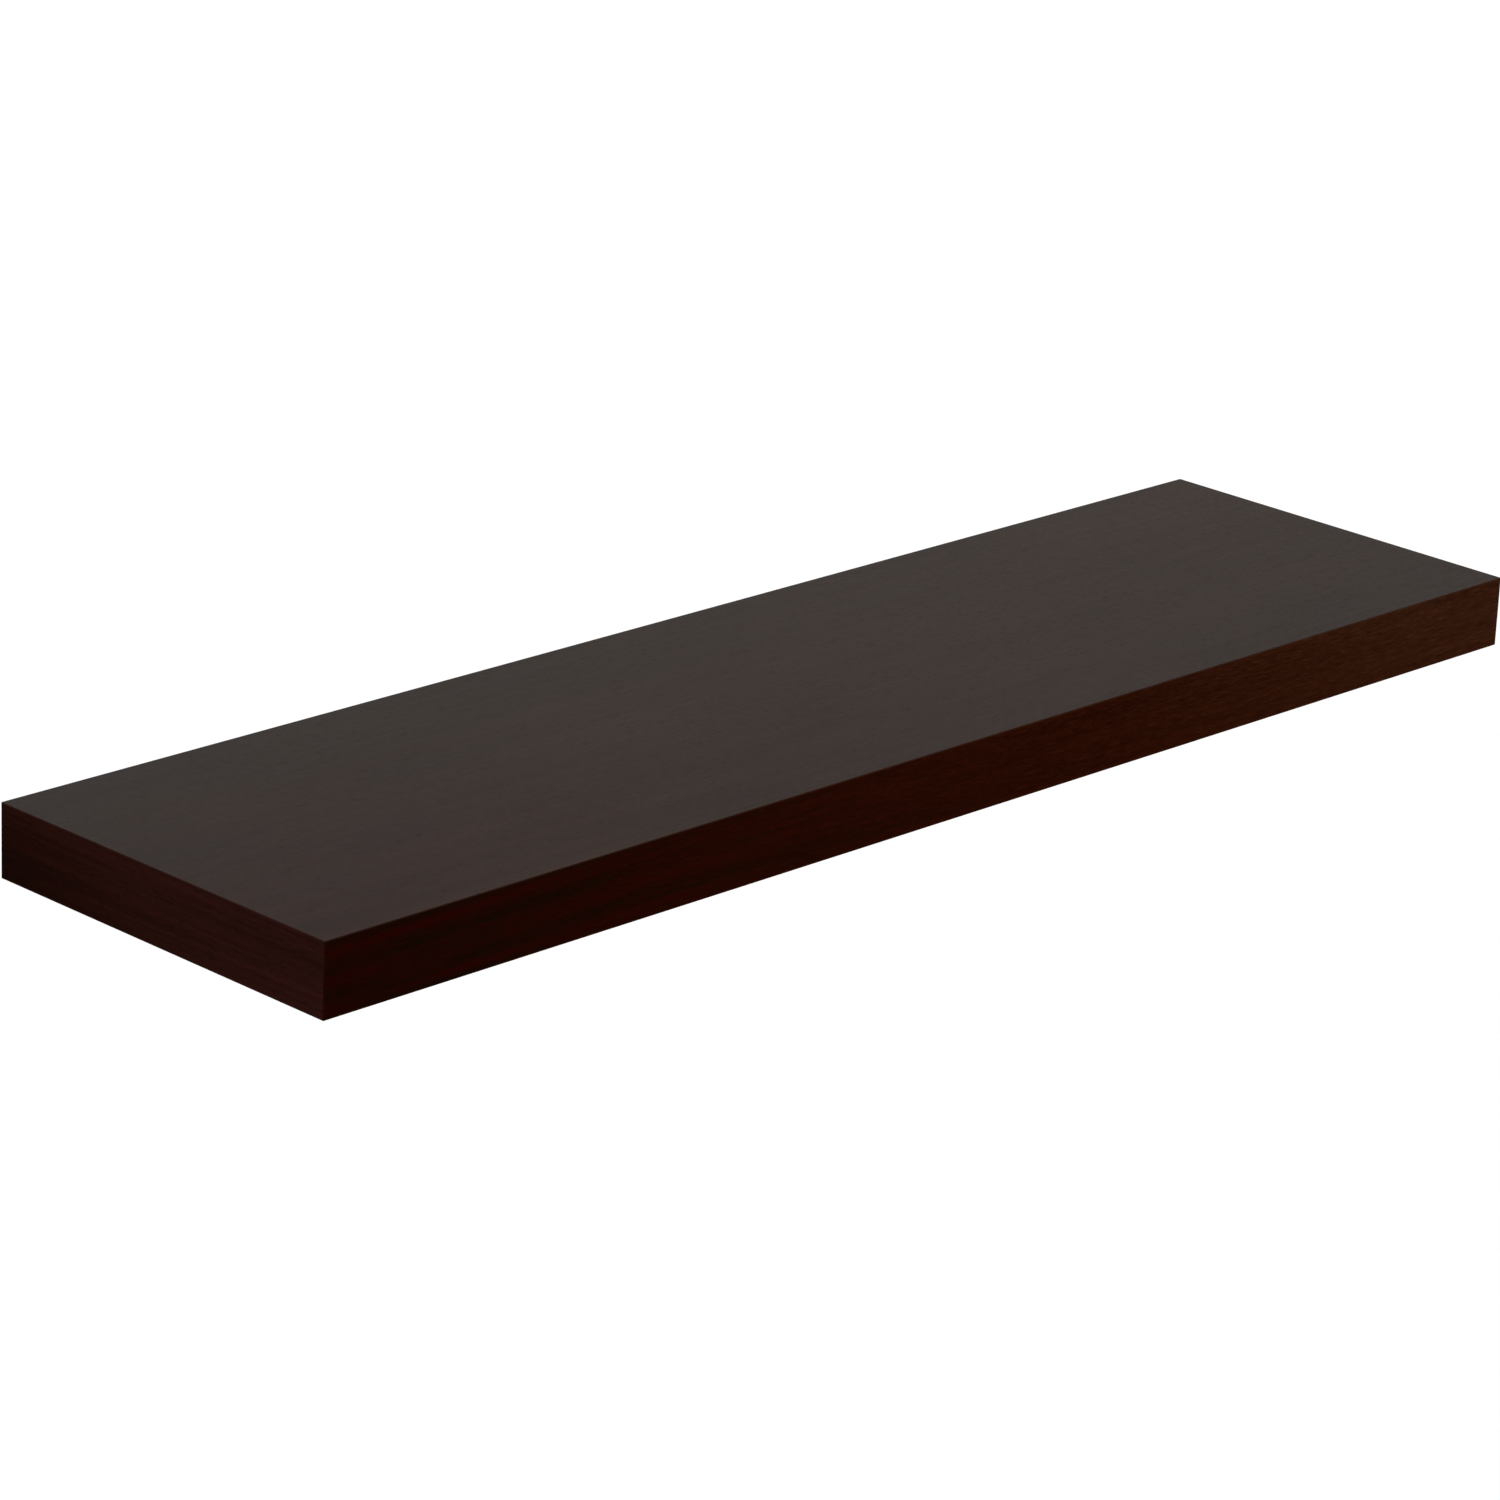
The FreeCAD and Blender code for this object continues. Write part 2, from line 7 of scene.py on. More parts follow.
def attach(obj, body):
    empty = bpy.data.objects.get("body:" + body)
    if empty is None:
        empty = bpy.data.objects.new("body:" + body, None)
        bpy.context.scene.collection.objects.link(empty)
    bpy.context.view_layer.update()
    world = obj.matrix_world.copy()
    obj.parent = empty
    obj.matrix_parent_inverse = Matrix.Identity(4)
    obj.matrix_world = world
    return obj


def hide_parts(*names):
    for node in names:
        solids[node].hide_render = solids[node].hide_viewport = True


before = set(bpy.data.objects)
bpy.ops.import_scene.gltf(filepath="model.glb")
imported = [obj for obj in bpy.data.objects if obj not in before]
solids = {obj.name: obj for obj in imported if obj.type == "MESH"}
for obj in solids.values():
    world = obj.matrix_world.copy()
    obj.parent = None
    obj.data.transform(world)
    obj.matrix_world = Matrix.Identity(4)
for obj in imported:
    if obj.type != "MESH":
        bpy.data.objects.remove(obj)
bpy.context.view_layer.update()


# The wall plate is a flat steel bar, drilled for the rods, countersunk for
# four wall screws and powder coated black. It is screwed to the wall first.
# The piece is the solid with its sheared edges broken.
PLATE_EDGE = 0.0003
PLATE_SCUFFS = (45, 500, 900)
SHARP_ANGLE = math.radians(40)
FLAT_ANGLE = math.radians(0.5)
DOUBLES_GAP = 0.000002
BLACK_COAT = (0.009, 0.009, 0.0095, 1.0)
BLACK_COAT_DUSTY = (0.019, 0.0185, 0.018, 1.0)
BARE_STEEL = (0.16, 0.155, 0.15, 1.0)
COAT_SPECULAR = 0.22
COAT_ROUGHNESS = (0.36, 0.52)
COAT_CELLS = (70, 70, 70)
DUST_CELLS = (28, 28, 28)
DUST_SPAN = (0.42, 0.7)
SCUFF_SPAN = (0.68, 0.76)
PEEL_CELLS = (1300, 1300, 1300)
PEEL_DEPTH = 0.00006
MOST_NOISE = (0.3, 0.7)


def put(material, kind, inputs=None, **settings):
    """Adds a node, with its settings, and links or sets its inputs."""
    made = material.node_tree.nodes.new(kind)
    for setting, value in settings.items():
        setattr(made, setting, value)
    for socket, value in (inputs or {}).items():
        if isinstance(value, bpy.types.NodeSocket):
            material.node_tree.links.new(value, made.inputs[socket])
        else:
            made.inputs[socket].default_value = value
    return made


def new_finish(name, metallic=0.0, specular=0.5):
    """A material with its shader, and the place on the piece it reads."""
    material = bpy.data.materials.new(name)
    material.use_nodes = True
    shader = material.node_tree.nodes["Principled BSDF"]
    shader.inputs["Metallic"].default_value = metallic
    shader.inputs["Specular IOR Level"].default_value = specular
    place = put(material, "ShaderNodeTexCoord").outputs["Object"]
    return material, shader, place


def vector(material, operation, first, second=(0.0, 0.0, 0.0)):
    """One step of arithmetic on places. A length or a dot product gives a
    number, and the others a place."""
    made = put(material, "ShaderNodeVectorMath", {0: first, 1: second},
               operation=operation)
    return made.outputs["Value" if operation in ("LENGTH", "DOT_PRODUCT")
                        else "Vector"]


def noise(material, place, cells, detail=2.0, rough=0.5):
    """A soft noise between 0 and 1, with that many cells a metre each way."""
    return put(material, "ShaderNodeTexNoise", {
        "Vector": vector(material, "MULTIPLY", place, cells), "Scale": 1.0,
        "Detail": detail, "Roughness": rough}).outputs[0]


def span(material, value, low, high, new_low=0.0, new_high=1.0):
    """The value between low and high, as a share of the new span."""
    return put(material, "ShaderNodeMapRange", {
        "Value": value, "From Min": low, "From Max": high,
        "To Min": new_low, "To Max": new_high}).outputs[0]


def tint(material, share, first, second):
    """The first colour where the share is 0, and the second where it is 1."""
    return put(material, "ShaderNodeMix", {0: share, 6: first, 7: second},
               data_type="RGBA").outputs[2]


def surface(material, shader, colour, roughness, height, depth):
    """Gives the shader its colour and roughness, and raises the surface by
    the height, with depth in metres."""
    bump = put(material, "ShaderNodeBump", {
        "Height": height, "Distance": depth, "Strength": 1.0})
    for socket, source in (("Base Color", colour), ("Roughness", roughness),
                           ("Normal", bump.outputs[0])):
        material.node_tree.links.new(source, shader.inputs[socket])


def dress(material, *pieces):
    """Gives the pieces that finish."""
    for piece in pieces:
        if not piece.material_slots:
            piece.data.materials.append(material)
        for slot in piece.material_slots:
            slot.material = material


def copy_of(node, name):
    """A piece with the node's shape, its loose triangles merged."""
    bpy.ops.object.select_all(action="DESELECT")
    piece = bpy.data.objects.new(name, solids[node].data.copy())
    bpy.context.scene.collection.objects.link(piece)
    bpy.context.view_layer.objects.active = piece
    piece.select_set(True)
    bpy.ops.object.mode_set(mode="EDIT")
    bpy.ops.mesh.select_all(action="SELECT")
    bpy.ops.mesh.remove_doubles(threshold=DOUBLES_GAP)
    bpy.ops.mesh.dissolve_limited(angle_limit=FLAT_ANGLE)
    bpy.ops.mesh.normals_make_consistent(inside=False)
    bpy.ops.object.mode_set(mode="OBJECT")
    bpy.ops.object.shade_flat()
    return piece


def apply(piece, kind, **settings):
    """Adds a modifier to the piece and applies it."""
    modifier = piece.modifiers.new(kind.title(), kind)
    for setting, value in settings.items():
        setattr(modifier, setting, value)
    bpy.context.view_layer.objects.active = piece
    bpy.ops.object.modifier_apply(modifier=modifier.name)


def black_coat(name, scuffs):
    """Powder coat: fine orange peel, dusty in places, and scuffed to bare
    steel in scuffs of that many cells a metre each way."""
    material, shader, place = new_finish(name, specular=COAT_SPECULAR)
    dusty = span(material, noise(material, place, DUST_CELLS, detail=3),
                 *DUST_SPAN)
    colour = tint(material, dusty, BLACK_COAT, BLACK_COAT_DUSTY)
    bare = span(material, noise(material, place, scuffs, detail=3, rough=0.6),
                *SCUFF_SPAN)
    colour = tint(material, bare, colour, BARE_STEEL)
    gloss = span(material, noise(material, place, COAT_CELLS), *MOST_NOISE,
                 *COAT_ROUGHNESS)
    surface(material, shader, colour, gloss,
            noise(material, place, PEEL_CELLS), PEEL_DEPTH)
    return material


plate = copy_of("wall_plate", "wall_plate_bar")
apply(plate, "BEVEL", width=PLATE_EDGE, segments=2, limit_method="ANGLE",
      angle_limit=SHARP_ANGLE, use_clamp_overlap=True)
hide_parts("wall_plate")
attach(plate, "bracket")
dress(black_coat("plate_powder_coat", PLATE_SCUFFS), plate)


# The three rods are round steel bar, turned down at the back to a spigot that
# sits in the plate and chamfered at the tip. They are coated with the plate,
# and the bores of the shelf rub their coat lengthwise.
ROD_SCUFFS = (900, 26, 900)
dress(black_coat("rod_powder_coat", ROD_SCUFFS), solids["left_rod"],
      solids["centre_rod"], solids["right_rod"])


# A fillet weld holds each rod to the front of the plate. It is laid round the
# rod in overlapping drops, and coated black with the rest.
ROD_PLACES = (-0.3556, 0.0, 0.3556)
ROD_RADIUS = 0.006
PLATE_FRONT = -0.004
WELD_LEG = 0.003
WELD_DROPS = 34
DROP_RADIUS = 0.5 * WELD_LEG
DROP_OFFSET = 0.33 * WELD_LEG
DROP_STRETCH = (0.82, 1.25, 1.25)
MELT_VOXEL = 0.00022
MELT_SMOOTHING = 0.5
MELT_PASSES = 2
WELD_SCUFFS = (400, 400, 400)


def weld_bead(place):
    """One bead round a rod: a drop, copied round it and melted together."""
    bpy.ops.object.select_all(action="DESELECT")
    middle = (place, PLATE_FRONT - DROP_OFFSET, ROD_RADIUS + DROP_OFFSET)
    bpy.ops.mesh.primitive_uv_sphere_add(
        segments=20, ring_count=12, radius=DROP_RADIUS, location=middle)
    bead = bpy.context.object
    bpy.ops.object.transform_apply(location=True, rotation=True, scale=True)
    bpy.ops.object.mode_set(mode="EDIT")
    bpy.ops.mesh.select_all(action="SELECT")
    bpy.ops.transform.resize(value=DROP_STRETCH, center_override=middle)
    bpy.ops.mesh.spin(
        dupli=True, steps=WELD_DROPS - 1,
        angle=2 * math.pi * (WELD_DROPS - 1) / WELD_DROPS,
        center=(place, PLATE_FRONT, 0.0), axis=(0.0, 1.0, 0.0))
    bpy.ops.object.mode_set(mode="OBJECT")
    apply(bead, "REMESH", mode="VOXEL", voxel_size=MELT_VOXEL)
    apply(bead, "SMOOTH", factor=MELT_SMOOTHING, iterations=MELT_PASSES)
    return bead


beads = [weld_bead(place) for place in ROD_PLACES]
bpy.ops.object.select_all(action="DESELECT")
for bead in beads:
    bead.select_set(True)
bpy.context.view_layer.objects.active = beads[0]
bpy.ops.object.join()
welds = bpy.context.object
welds.name = "rod_weld_beads"
bpy.ops.object.shade_smooth()
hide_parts("rod_welds")
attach(welds, "bracket")
dress(black_coat("weld_powder_coat", WELD_SCUFFS), welds)


# The rails run the length of the shelf at the front and the back. They are
# planed pine, and the rear one is drilled for the rods. The stiles close the
# frame at its ends, and the ribs take the rods. All are doweled and glued.
PINE_PALE = (0.60, 0.395, 0.205, 1.0)
PINE_RING = (0.345, 0.17, 0.066, 1.0)
PINE_FIBRE = (0.70, 0.50, 0.29, 1.0)
PINE_SPECULAR = 0.25
PINE_ROUGHNESS = (0.62, 0.82)
PINE_DEPTH = 0.00012
FIBRE_SPAN = (0.35, 0.8)
FIBRE_SHOWS = 0.45
YEAR_TONES = ((0.0, 0.05), (0.45, 0.16), (0.82, 0.85), (0.93, 0.95),
              (1.0, 0.1))
RING_WIDTH = 0.0031
RING_SWAY = 0.012
RING_SINKS = 0.4
RIB_PITCH = 0.3556
NOISE_REACH = (0.2, 0.8)


def count(material, operation, first, second=0.0, third=0.0):
    """One step of arithmetic on numbers or sockets."""
    return put(material, "ShaderNodeMath", {0: first, 1: second, 2: third},
               operation=operation).outputs[0]


def tones(material, share, stops):
    """The colour at that share of the way through the stops."""
    ramp = put(material, "ShaderNodeValToRGB", {0: share})
    marks = ramp.color_ramp.elements
    for at, _ in stops[1:-1]:
        marks.new(at)
    for mark, (at, colour) in zip(marks, stops):
        mark.position, mark.color = at, colour
    return ramp.outputs[0]


def pine(name, across, pith, fibre, drift):
    """Solid pine. The rings run round a pith outside the board, so a face
    shows lines and an end shows arcs. across keeps the two ways the rings
    spread, and boards cut from front to back have a pith each, a rib's pitch
    apart. fibre is the cells a metre of its strands, and drift of the sway
    of its rings, few of them along the grain."""
    material, shader, place = new_finish(name, specular=PINE_SPECULAR)
    parts = put(material, "ShaderNodeSeparateXYZ", {0: place}).outputs
    local = put(material, "ShaderNodeCombineXYZ", {
        0: count(material, "WRAP", parts[0], 0.5 * RIB_PITCH,
                 -0.5 * RIB_PITCH) if across[0] else parts[0],
        1: parts[1], 2: parts[2]}).outputs[0]
    spread = vector(material, "MULTIPLY",
                    vector(material, "SUBTRACT", local, pith), across)
    reach = count(material, "MULTIPLY_ADD", noise(material, place, drift),
                  RING_SWAY, vector(material, "LENGTH", spread))
    year = count(material, "FRACT",
                 count(material, "DIVIDE", reach, RING_WIDTH))
    late = tones(material, year, [(at, (grey, grey, grey, 1.0))
                                  for at, grey in YEAR_TONES])
    strands = noise(material, place, fibre, detail=3, rough=0.6)
    colour = tint(material, late, PINE_PALE, PINE_RING)
    colour = tint(material,
                  span(material, strands, *FIBRE_SPAN, 0.0, FIBRE_SHOWS),
                  colour, PINE_FIBRE)
    gloss = span(material, strands, *NOISE_REACH, *PINE_ROUGHNESS)
    height = count(material, "SUBTRACT", strands,
                   count(material, "MULTIPLY", late, RING_SINKS))
    surface(material, shader, colour, gloss, height, PINE_DEPTH)
    return material


dress(pine("rail_pine", across=(0, 1, 1), pith=(0.0, -0.11, -0.055),
           fibre=(26, 1500, 1500), drift=(2.6, 11, 17)),
      solids["front_rail"], solids["rear_rail"])
dress(pine("rib_pine", across=(1, 0, 1), pith=(0.035, 0.0, -0.048),
           fibre=(1500, 26, 1500), drift=(11, 2.6, 17)),
      solids["left_stile"], solids["right_stile"], solids["left_rib"],
      solids["centre_rib"], solids["right_rib"])


# The dowels are short pins cut from turned beech, which has fine dark flecks.
# They are glued in pairs into the frame's joints.
BEECH = (0.50, 0.315, 0.17, 1.0)
BEECH_FLECK = (0.29, 0.15, 0.07, 1.0)
BEECH_CELLS = (1400, 1400, 1400)
BEECH_SPAN = (0.5, 0.72)
BEECH_ROUGHNESS = (0.55, 0.75)
BEECH_DEPTH = 0.00008
dowel_beech, shader, place = new_finish("dowel_beech", specular=0.25)
flecks = noise(dowel_beech, place, BEECH_CELLS, rough=0.6)
surface(dowel_beech, shader,
        tint(dowel_beech, span(dowel_beech, flecks, *BEECH_SPAN), BEECH,
             BEECH_FLECK),
        span(dowel_beech, flecks, *NOISE_REACH, *BEECH_ROUGHNESS),
        flecks, BEECH_DEPTH)
dress(dowel_beech, solids["frame_dowels"])


# Honeycomb paper fills the four bays of the frame. It is kraft paper, folded,
# glued in strips and pulled open into cells that stand on their edges.
KRAFT = (0.40, 0.265, 0.145, 1.0)
KRAFT_SHIVE = (0.21, 0.125, 0.06, 1.0)
KRAFT_CELLS = (420, 420, 420)
KRAFT_SPAN = (0.52, 0.7)
KRAFT_ROUGHNESS = (0.78, 0.92)
KRAFT_DEPTH = 0.0001
kraft_paper, shader, place = new_finish("kraft_paper", specular=0.2)
pulp = noise(kraft_paper, place, KRAFT_CELLS, detail=5, rough=0.7)
surface(kraft_paper, shader,
        tint(kraft_paper, span(kraft_paper, pulp, *KRAFT_SPAN), KRAFT,
             KRAFT_SHIVE),
        span(kraft_paper, pulp, *MOST_NOISE, *KRAFT_ROUGHNESS),
        pulp, KRAFT_DEPTH)
dress(kraft_paper, *[solids[side + "_core"] for side in (
    "outer_left", "inner_left", "inner_right", "outer_right")])


# The skins are 3 mm fibreboard, glued on the frame above and below. Their
# raw edges, felted and with darker clumps, show at the back.
SKIN_FELT = (0.245, 0.145, 0.075, 1.0)
SKIN_STRAND = (0.40, 0.265, 0.15, 1.0)
SKIN_DARK = (0.13, 0.07, 0.036, 1.0)
FELT_CELLS = (520, 520, 1500)
FELT_SPAN = (0.4, 0.66)
FELT_ROUGHNESS = (0.74, 0.9)
FELT_DEPTH = 0.00025
CLUMP_CELLS = (60, 60, 200)
CLUMP_SPAN = (0.5, 0.75, 0.0, 0.7)
fibreboard, shader, place = new_finish("raw_fibreboard", specular=0.2)
felt = noise(fibreboard, place, FELT_CELLS, detail=5, rough=0.68)
clumps = noise(fibreboard, place, CLUMP_CELLS, detail=3, rough=0.6)
colour = tint(fibreboard, span(fibreboard, felt, *FELT_SPAN), SKIN_FELT,
              SKIN_STRAND)
colour = tint(fibreboard, span(fibreboard, clumps, *CLUMP_SPAN), colour,
              SKIN_DARK)
surface(fibreboard, shader, colour,
        span(fibreboard, felt, *MOST_NOISE, *FELT_ROUGHNESS),
        felt, FELT_DEPTH)
dress(fibreboard, solids["top_skin"], solids["bottom_skin"])


# The top sheet is sliced veneer, glued on the upper skin, stained to a dark
# espresso and lacquered satin. The same finish, each sheet with a grain of
# its own, goes on the other faces. Its arrises have a patchy, paler painted
# highlight.
HALF_WIDTH = 0.457
HALF_HEIGHT = 0.02075
SHELF_DEPTH = 0.2485
# The top's colours grow darker towards its front right: painted shade.
TOP_DARKS = ((0.0, (0.0145, 0.0051, 0.0033, 1)),
             (0.25, (0.0155, 0.0067, 0.0039, 1)),
             (1.0, (0.0078, 0.0028, 0.0012, 1)))
TOP_WARMS = ((0.0, (0.0242, 0.0090, 0.0058, 1)),
             (0.25, (0.0254, 0.0116, 0.0067, 1)),
             (1.0, (0.0135, 0.0052, 0.0023, 1)))
TOP_TAN = (0.0204, 0.0101, 0.0051, 1.0)
TAN_SLOPE = (0.36, 1.0, 0.0)
TAN_CLOUDS = 0.14
TAN_START = -0.225
TAN_LENGTH = 0.16
TAN_SHOWS = 0.45
# A painted reflection, greyer towards the back left of the top.
TOP_PAINTED_REFLECTION = (0.0205, 0.0172, 0.0140, 1.0)
REFLECTION_SLOPE = (-0.25, 1.0, 0.0)
REFLECTION_START = -0.13
REFLECTION_LENGTH = 0.23
REFLECTION_SHOWS = 0.5
STAIN_PORE = (0.0035, 0.0016, 0.0010, 1.0)
STAIN_GLINTS = ((0.0, (0.0300, 0.0060, 0.0020, 1)),
                (0.45, (0.0450, 0.0100, 0.0028, 1)),
                (1.0, (0.0800, 0.0300, 0.0130, 1)))
STAINED_EDGES = ((0.0, (0.0130, 0.0020, 0.0009, 1)),
                 (1.0, (0.0310, 0.0098, 0.0045, 1)))
RAW_EDGE = (0.060, 0.024, 0.012, 1.0)
# The colour of the painted highlight on the arrises.
ARRIS_HIGHLIGHT = (0.046, 0.016, 0.007, 1.0)

# These are the lengths and widths of the grain's parts, in metres.
SWAY_SIZE = (0.55, 0.16)
RIBBON_SIZE = (0.30, 0.0105)
PULSE_SIZE = (0.11, 0.02)
STREAK_SIZE = (0.15, 0.0026)
FIBRE_WIDTH = 0.0008
CLOUD_SIZE = (0.12, 0.06)
GLINT_SIZE = (0.011, 0.0004)
PORE_SIZE = (0.006, 0.00028)
RIBBON_SWAY = 0.009
RIBBON_PITCH = 0.0155
RIBBON_CREST = 0.0110
ARRIS_INNER = 0.0002
ARRIS_WIDTH = 0.0016

# These say how far the parts show, and over what span of noise or sheet.
RIBBON_BEND = 0.4
RIBBON_NARROWS = 2.0
RIBBON_TONES = (0.12, 0.85)
RIBBON_FADE = (0.08, 0.36)
PULSE_SPAN = (0.36, 0.62, 0.25, 1.0)
LATE_SPAN = (0.1, 0.45)
CLOUDS_SHOW = 0.38
FIGURE_SPAN = (0.39, 0.61)
GLINT_SPAN = (0.52, 0.70)
GLINT_RISE = (0.1, 0.6, 0.5, 1.0)
PORE_SPAN = (0.58, 0.70)
PORE_ROUGHNESS = 0.16
FIBRE_HEIGHT = 0.35
# The patches and the least share of the painted highlight on the arrises.
HIGHLIGHT_CELLS = (70, 70, 70)
HIGHLIGHT_SPAN = (0.35, 0.65)
HIGHLIGHT_LEAST = 0.5
EDGE_SPAN = (0.5, 0.7, 0.9, 0.0)
RAW_SPAN = (0.85, 0.95, 0.0, 0.85)


def grain(material, cut, face, size, detail, rough=0.5):
    """A noise of that length along the face's grain, and that width."""
    length, width = size
    return noise(material, cut,
                 (1 / width, 1 / length, 1 / width) if face == "x"
                 else (1 / length, 1 / width, 1 / width), detail, rough)


def between(material, share, first, second):
    """The first number where the share is 0, and the second where it is 1."""
    return put(material, "ShaderNodeMix",
               {0: share, 2: first, 3: second}).outputs[0]


def turned(material, parts, face, turn, lean):
    """How far the colours have turned from the sheet's start to its end, by
    its grain and by painted light and shade.
    """
    share = (span(material, parts[1], -SHELF_DEPTH, 0.0) if face == "x"
             else span(material, parts[0], -HALF_WIDTH, HALF_WIDTH))
    share = count(material, "POWER", share, turn)
    least = (1 - lean) / (1 + lean)
    return count(material, "MULTIPLY", share, (
        span(material, parts[1], -SHELF_DEPTH, 0.0, 1.0, least)
        if face == "z" else
        span(material, parts[2], -HALF_HEIGHT, HALF_HEIGHT, 1.0, least)))


def even_ribbons(material, height, sway):
    """Ribbons at an even pitch up the sheet, which bend with its sway."""
    crest = count(material, "MULTIPLY_ADD", sway, RIBBON_BEND, -RIBBON_CREST)
    wave = count(material, "SINE", count(
        material, "MULTIPLY", count(material, "ADD", height, crest),
        2 * math.pi / RIBBON_PITCH))
    wave = count(material, "POWER", span(material, wave, -1.0, 1.0),
                 RIBBON_NARROWS)
    return span(material, wave, 0.0, 1.0, *RIBBON_TONES)


def browner_with_painted_reflection(material, place, clouds, colour):
    """The colour, browner towards the sheet's back right, and greyer towards
    its back left with a painted reflection."""
    tan = vector(material, "DOT_PRODUCT", place, TAN_SLOPE)
    tan = count(material, "MULTIPLY_ADD", clouds, TAN_CLOUDS, tan)
    tan = span(material, tan, TAN_START, TAN_START + TAN_LENGTH, 0.0,
               TAN_SHOWS)
    colour = tint(material, tan, colour, TOP_TAN)
    # Painted reflection: greyer towards the sheet's back left.
    painted_reflection = vector(material, "DOT_PRODUCT", place, REFLECTION_SLOPE)
    painted_reflection = span(material, painted_reflection, REFLECTION_START,
                  REFLECTION_START + REFLECTION_LENGTH, 0.0, REFLECTION_SHOWS)
    return tint(material, painted_reflection, colour, TOP_PAINTED_REFLECTION)


def painted_arris_highlight(material, place, parts, arris):
    """How strong the patchy painted highlight on the arrises is. A place's
    second smallest distance from the faces is the one from its nearest arris."""
    gaps = [count(material, "SUBTRACT", HALF_WIDTH,
                  count(material, "ABSOLUTE", parts[0])),
            count(material, "ADD", parts[1], SHELF_DEPTH),
            count(material, "SUBTRACT", HALF_HEIGHT,
                  count(material, "ABSOLUTE", parts[2]))]
    near = count(material, "MAXIMUM", count(
        material, "MINIMUM", gaps[0], gaps[1]), count(
        material, "MINIMUM", gaps[2],
        count(material, "MAXIMUM", gaps[0], gaps[1])))
    highlight_patches = noise(material, place, HIGHLIGHT_CELLS, detail=3, rough=0.6)
    highlight_patches = span(material, highlight_patches, *HIGHLIGHT_SPAN, HIGHLIGHT_LEAST * arris, arris)
    return count(material, "MULTIPLY", highlight_patches,
                 span(material, near, ARRIS_INNER, ARRIS_WIDTH, 1.0, 0.0))


def cut_edges(material, face, share, colour):
    """The colour, with the sheet's own edges stained, and bare at the wall."""
    facing = put(material, "ShaderNodeSeparateXYZ", {
        0: put(material, "ShaderNodeNewGeometry").outputs["True Normal"],
    }).outputs
    onward = count(material, "ABSOLUTE", facing["xyz".index(face)])
    colour = tint(material, span(material, onward, *EDGE_SPAN), colour,
                  tones(material, share, STAINED_EDGES))
    return tint(material, span(material, facing[1], *RAW_SPAN), colour,
                RAW_EDGE)


def veneer(name, face, darks, warms, *, flitch, specular, bands, lean,
           turn=1.0, fine=0.3, fleck=0.016, late=None, ribbon=0.0,
           glints=0.0, pore_share=0.6, arris=0.4, sheen=(0.34, 0.46),
           depth=0.00003):
    """Stained veneer on the faces that point along x, y or z. darks and warms
    are its streaks' colours from the start to the end of the sheet, which
    change partly as painted light and shade. turn is how late the end's
    come, and lean how much sooner they come at its front or foot, or below 0
    at its top, as painted light and shade. flitch is where in the log it was
    cut.
    bands is how far the broad ribbons of the grain show beside its streaks,
    fine how far its flecks do, and fleck how long they are. late holds the
    bands and the fine of the sheet's end, where they differ. ribbon is how
    far the ribbons keep an even pitch at the start, glints how far the pale
    flecks show, which grow paler and stronger along the sheet with its
    painted light, pore_share how dark the pores are, arris how strong the
    patchy painted highlight on the arrises is, sheen the least and most
    roughness, and depth that of the pores."""
    material, shader, place = new_finish(name, specular=specular)
    parts = put(material, "ShaderNodeSeparateXYZ", {0: place}).outputs
    share = turned(material, parts, face, turn, lean)
    cut = vector(material, "ADD", place, flitch)
    sway = span(material, grain(material, cut, face, SWAY_SIZE, detail=1),
                0.0, 1.0, -RIBBON_SWAY, RIBBON_SWAY)
    cut = vector(material, "ADD", cut, vector(
        material, "MULTIPLY", sway, (1, 0, 1) if face == "x" else (0, 1, 1)))
    ribbons = grain(material, cut, face, RIBBON_SIZE, detail=1)
    if ribbon:
        fade = span(material, share, *RIBBON_FADE, ribbon, 0.0)
        pulse = span(material,
                     grain(material, cut, face, PULSE_SIZE, detail=2),
                     *PULSE_SPAN)
        ribbons = between(material, count(material, "MULTIPLY", fade, pulse),
                          ribbons, even_ribbons(material, parts[2], sway))
    streaks = grain(material, cut, face, STREAK_SIZE, detail=3, rough=0.68)
    fibres = grain(material, cut, face, (fleck, FIBRE_WIDTH), detail=3,
                   rough=0.6)
    broad = bands / (1 - fine)
    if late:
        broad = span(material, share, *LATE_SPAN, broad,
                     late[0] / (1 - late[1]))
        fine = span(material, share, *LATE_SPAN, fine, late[1])
    figure = between(material, broad, streaks, ribbons)
    figure = between(material, fine, figure, fibres)
    if face == "z":
        clouds = grain(material, cut, face, CLOUD_SIZE, detail=3, rough=0.55)
        figure = between(material, CLOUDS_SHOW, figure, clouds)
    colour = tint(material, span(material, figure, *FIGURE_SPAN),
                  tones(material, share, darks), tones(material, share, warms))
    if face == "z":
        colour = browner_with_painted_reflection(material, place, clouds, colour)
    # The pale flecks grow paler and stronger along the sheet with its painted
    # light.
    if glints:
        pale = grain(material, cut, face, GLINT_SIZE, detail=3, rough=0.7)
        pale = count(material, "MULTIPLY",
                     span(material, pale, *GLINT_SPAN, 0.0, glints),
                     span(material, share, *GLINT_RISE))
        colour = tint(material, pale, colour,
                      tones(material, share, STAIN_GLINTS))
    pores = span(material, grain(material, cut, face, PORE_SIZE, detail=1),
                 *PORE_SPAN)
    colour = tint(material, count(material, "MULTIPLY", pores, pore_share),
                  colour, STAIN_PORE)
    # Painted highlight: a patchy, paler line along the arrises.
    colour = tint(material, painted_arris_highlight(material, place, parts, arris),
                  colour, ARRIS_HIGHLIGHT)
    colour = cut_edges(material, face, share, colour)
    gloss = count(material, "MULTIPLY_ADD", pores, PORE_ROUGHNESS,
                  span(material, streaks, *MOST_NOISE, *sheen))
    height = count(material, "SUBTRACT",
                   count(material, "MULTIPLY", fibres, FIBRE_HEIGHT), pores)
    surface(material, shader, colour, gloss, height, depth)
    return material


